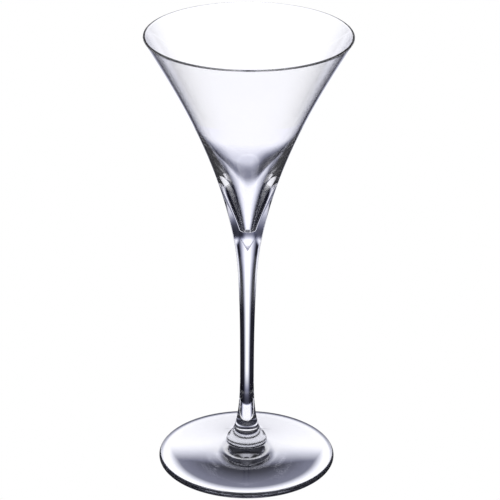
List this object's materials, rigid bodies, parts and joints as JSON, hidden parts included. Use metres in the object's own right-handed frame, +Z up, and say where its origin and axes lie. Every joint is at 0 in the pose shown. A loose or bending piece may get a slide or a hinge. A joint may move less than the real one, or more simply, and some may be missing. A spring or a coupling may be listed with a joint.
{
  "type": "martini glass",
  "caption": "Tall stemmed cocktail glass: flared conical bowl with a thick lower wall, slim drawn stem and a low round foot.",
  "frame": {"origin": "centre of the plane that the foot rests on", "axes": "+Z up along the glass's own axis, towards the lip; X and Y are free, because the glass is round"},
  "size_m": [0.093, 0.093, 0.21],
  "materials": {
    "bowl_glass": "clear blown crystal, fire-polished",
    "stem_glass": "clear drawn crystal, fire-polished",
    "foot_glass": "clear pressed crystal, fire-polished"
  },
  "bodies": {
    "root": {"bowl": "bowl_glass", "stem": "stem_glass", "foot": "foot_glass"}
  },
  "joints": []
}
